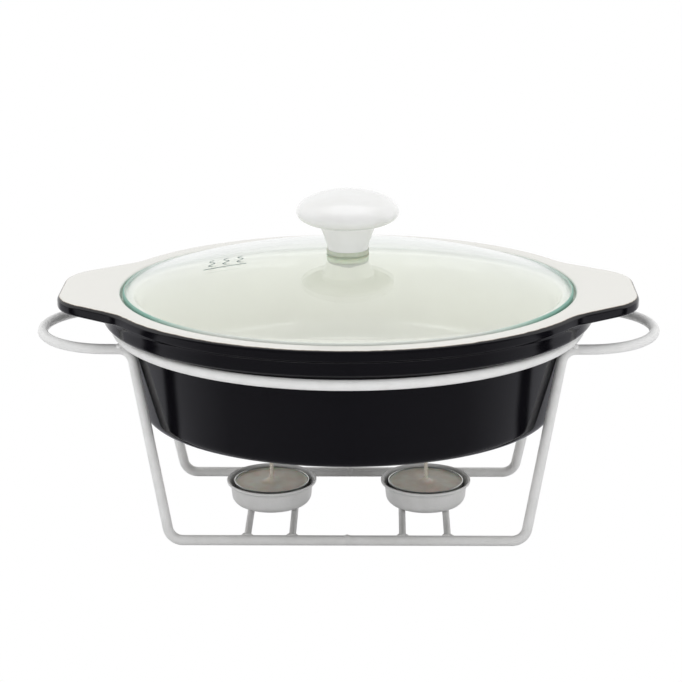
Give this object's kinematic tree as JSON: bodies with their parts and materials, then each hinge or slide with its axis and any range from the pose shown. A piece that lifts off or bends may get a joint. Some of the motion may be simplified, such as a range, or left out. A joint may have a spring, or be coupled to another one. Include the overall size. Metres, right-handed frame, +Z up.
{
  "type": "casserole food warmer",
  "caption": "Oval stoneware casserole with ear handles and a domed glass lid, on a welded wire stand with cups for tealights that keep the food warm.",
  "frame": {"origin": "middle of the stand's footprint, on the surface it stands on", "axes": "+X along the oval's long axis through both ear handles, +Y to the rear, +Z up"},
  "size_m": [0.308, 0.215, 0.1661],
  "materials": {
    "powder_coat": "satin white powder coat",
    "stoneware_glaze": "gloss black glaze outside, cream white glaze inside and on the flange",
    "lid_glass": "clear tempered glass with a green edge",
    "knob_ceramic": "gloss white glaze",
    "insert_brass": "turned",
    "silicone": "translucent grey silicone",
    "stainless": "satin stainless",
    "case_aluminium": "drawn foil",
    "wax": "pale paraffin wax",
    "wick_cotton": "waxed cotton braid"
  },
  "bodies": {
    "stand": {"support_ring": "powder_coat", "left_side_frame": "powder_coat", "right_side_frame": "powder_coat", "left_outer_cross_rod": "powder_coat", "left_inner_cross_rod": "powder_coat", "right_inner_cross_rod": "powder_coat", "right_outer_cross_rod": "powder_coat", "left_candle_cup": "powder_coat", "right_candle_cup": "powder_coat", "ring_welds": "powder_coat", "rod_welds": "powder_coat", "bar_seam_welds": "powder_coat"},
    "dish": {"casserole_dish": "stoneware_glaze"},
    "lid": {"glass_lid": "lid_glass", "lid_knob": "knob_ceramic", "knob_insert": "insert_brass", "upper_gasket": "silicone", "lower_gasket": "silicone", "retaining_washer": "stainless", "knob_screw": "stainless"},
    "left_tealight": {"left_tealight_case": "case_aluminium", "left_wax": "wax", "left_wick": "wick_cotton", "left_wick_sustainer": "stainless"},
    "right_tealight": {"right_tealight_case": "case_aluminium", "right_wax": "wax", "right_wick": "wick_cotton", "right_wick_sustainer": "stainless"}
  },
  "joints": [
    {"name": "dish_lift", "type": "slide", "parent": "stand", "child": "dish", "axis": [0, 0, 1], "range_m": [0, 0.1]},
    {"name": "lid_lift", "type": "slide", "parent": "dish", "child": "lid", "axis": [0, 0, 1], "range_m": [0, 0.1]},
    {"name": "left_tealight_lift", "type": "slide", "parent": "stand", "child": "left_tealight", "axis": [0, 0, 1], "range_m": [0, 0.018]},
    {"name": "right_tealight_lift", "type": "slide", "parent": "stand", "child": "right_tealight", "axis": [0, 0, 1], "range_m": [0, 0.018]}
  ]
}
